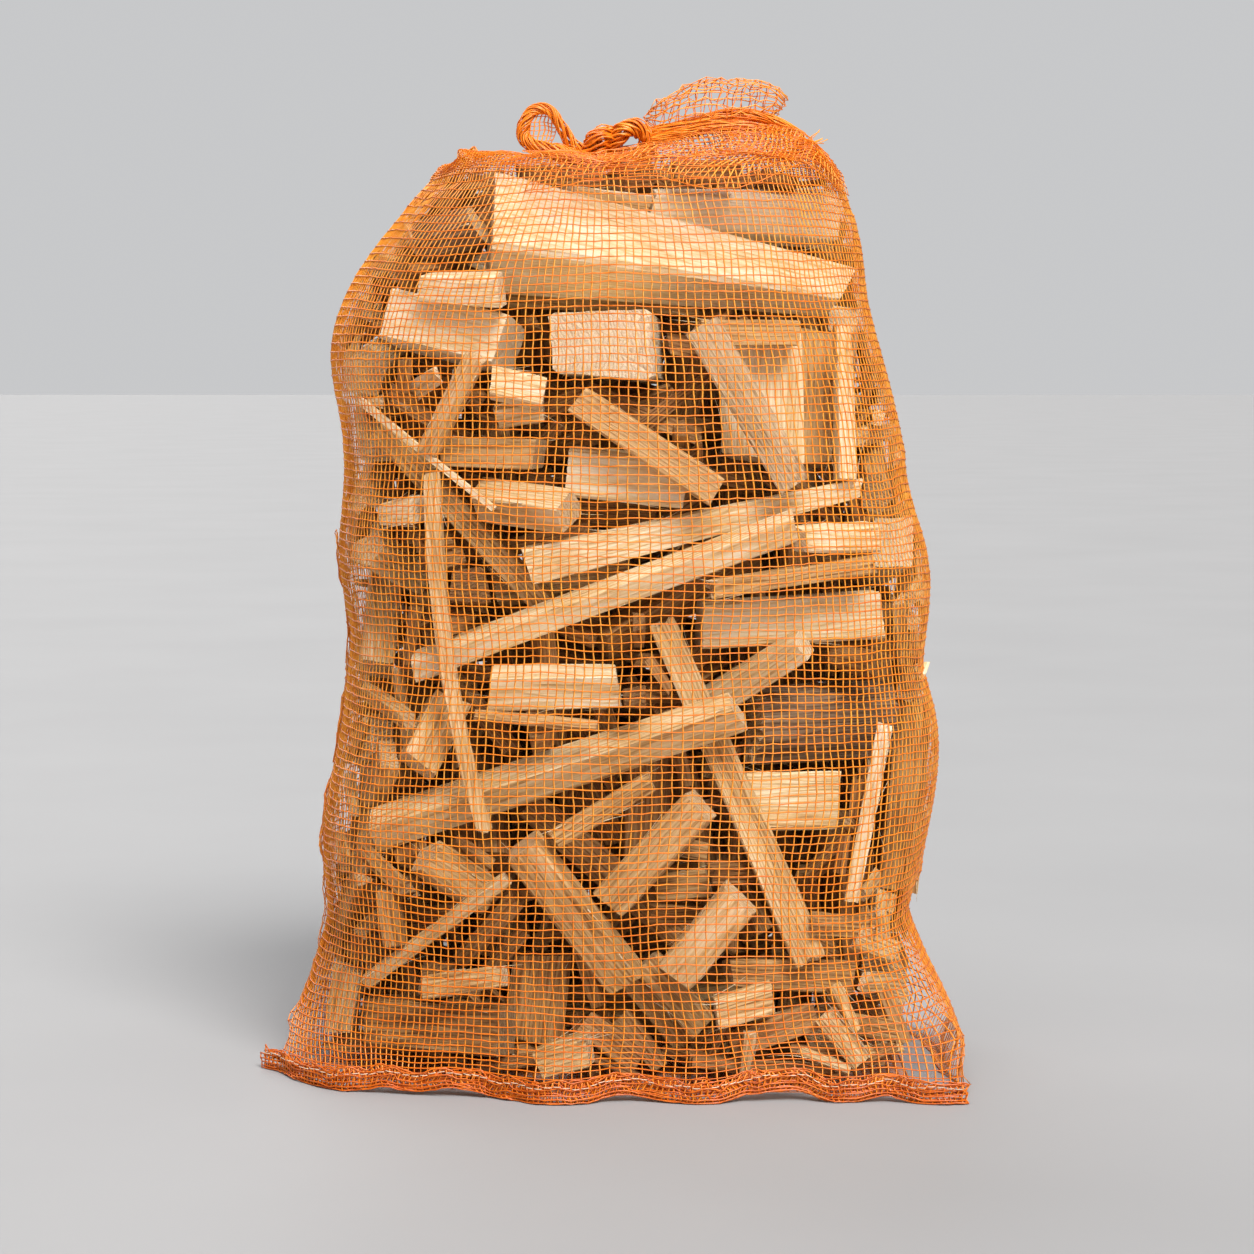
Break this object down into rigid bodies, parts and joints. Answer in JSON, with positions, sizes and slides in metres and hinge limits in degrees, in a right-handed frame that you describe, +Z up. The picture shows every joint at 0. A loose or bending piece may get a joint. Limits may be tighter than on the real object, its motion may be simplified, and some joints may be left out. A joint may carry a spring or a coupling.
{
  "type": "net sack of split kindling",
  "caption": "Upright orange net sack with a sewn bottom hem and a knotted mouth, packed with split kindling and short log pieces lying in all directions.",
  "frame": {"origin": "middle of the whole sack's box, on the floor it stands on", "axes": "+Z up to the knotted mouth, -Y towards the front, where the sewn bottom hem lies, +X to the right as seen from the front"},
  "size_m": [0.3736, 0.237, 0.5286],
  "materials": {
    "netting": "woven orange plastic netting, slightly glossy tapes, dense where it is folded",
    "thread": "off-white sewing thread",
    "fresh_wood": "pale, dry, freshly split softwood with raised grain",
    "tan_wood": "browner split wood and heartwood, matt",
    "grey_wood": "weathered grey fibrous wood, matt",
    "bark": "dark thin bark, rough"
  },
  "bodies": {
    "root": {"back_bark_piece": "bark", "back_falling_stick": "fresh_wood", "back_floor_block": "tan_wood", "back_low_stick": "fresh_wood", "back_middle_block": "fresh_wood", "back_slanting_stick": "fresh_wood", "back_top_log": "fresh_wood", "back_upright_stick": "fresh_wood", "bark_log": "bark", "bent_top_stick": "fresh_wood", "bottom_hem": "netting", "bright_left_block": "fresh_wood", "bright_side_slip": "fresh_wood", "broad_front_stick": "fresh_wood", "broad_left_piece": "tan_wood", "brown_cross_piece": "tan_wood", "brown_upright_stick": "tan_wood", "centre_block": "fresh_wood", "centre_square_stick": "fresh_wood", "centre_wedge": "tan_wood", "crooked_chunk": "fresh_wood", "diamond_end_stick": "fresh_wood", "fibrous_right_stick": "tan_wood", "grey_weathered_stick": "grey_wood", "leaning_left_stick": "fresh_wood", "left_edge_stub": "fresh_wood", "left_falling_stick": "tan_wood", "left_loop": "netting", "left_middle_stick": "fresh_wood", "left_rising_stub": "fresh_wood", "left_upper_block": "fresh_wood", "long_thin_slat": "fresh_wood", "long_upper_stick": "fresh_wood", "low_bright_end_stick": "fresh_wood", "low_centre_stick": "fresh_wood", "low_cross_block": "fresh_wood", "low_left_slab": "tan_wood", "low_left_wedge": "fresh_wood", "low_right_stick": "fresh_wood", "low_upright_block": "tan_wood", "mouth_knot": "netting", "net_bag": "netting", "pale_right_block": "fresh_wood", "pale_upright_block": "fresh_wood", "ragged_long_stick": "fresh_wood", "ridged_middle_stick": "fresh_wood", "right_ear": "netting", "right_edge_slab": "tan_wood", "right_middle_block": "fresh_wood", "right_upper_stick": "fresh_wood", "right_upright_stick": "fresh_wood", "short_right_stick": "fresh_wood", "slanting_square_stick": "fresh_wood", "tapered_cross_stick": "fresh_wood", "thin_rod": "fresh_wood", "top_log": "fresh_wood", "upper_left_bark": "bark", "upper_right_log": "fresh_wood", "white_end_log": "fresh_wood", "wide_right_block": "fresh_wood"}
  },
  "joints": []
}
